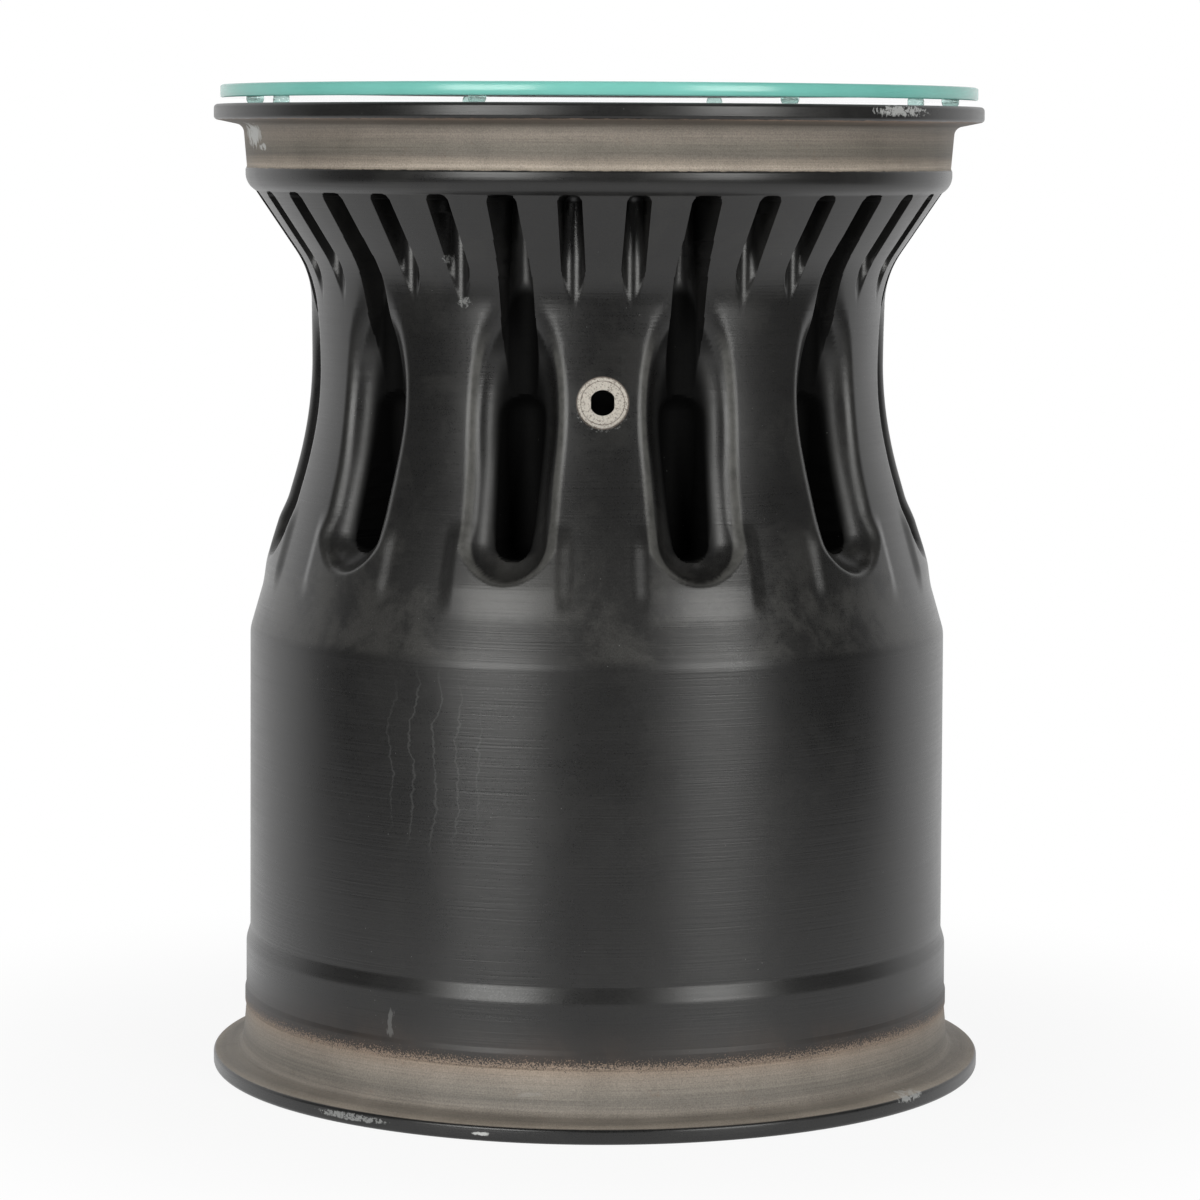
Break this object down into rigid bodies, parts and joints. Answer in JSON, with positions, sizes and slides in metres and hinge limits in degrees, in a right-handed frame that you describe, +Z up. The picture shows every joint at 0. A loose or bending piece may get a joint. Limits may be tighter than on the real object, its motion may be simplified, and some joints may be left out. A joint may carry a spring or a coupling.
{
  "type": "wheel rim side table",
  "caption": "Round side table: a deep hollow wheel rim stands on its inner flange, with a waisted, pocketed upper part and a round glass top resting on small clear bumpers.",
  "frame": {"origin": "centre of the ring on which the rim stands, on the floor", "axes": "+Z up along the rim's axis, through the middle of the glass; -Y towards the valve hole"},
  "size_m": [0.3579, 0.358, 0.4563],
  "materials": {
    "black_rim": "satin",
    "nut_seat": "satin",
    "glass": "polished",
    "bush_metal": "brushed",
    "clear_rubber": "clear"
  },
  "bodies": {
    "rim": {"rim_barrel": "black_rim", "wheel_centre": "black_rim", "nut_seat_ring": "nut_seat", "drive_bush_1": "bush_metal", "drive_bush_2": "bush_metal", "drive_bush_3": "bush_metal", "drive_bush_4": "bush_metal", "drive_bush_5": "bush_metal", "drive_bush_6": "bush_metal", "drive_bush_7": "bush_metal", "drive_bush_8": "bush_metal", "drive_bush_9": "bush_metal", "drive_bush_10": "bush_metal", "drive_bush_11": "bush_metal"},
    "top": {"glass_top": "glass", "bumper_1": "clear_rubber", "bumper_2": "clear_rubber", "bumper_3": "clear_rubber", "bumper_4": "clear_rubber", "bumper_5": "clear_rubber", "bumper_6": "clear_rubber", "bumper_7": "clear_rubber", "bumper_8": "clear_rubber"}
  },
  "joints": [
    {"name": "top_lift", "type": "slide", "parent": "rim", "child": "top", "axis": [0, 0, 1], "range_m": [0, 0.12]}
  ]
}
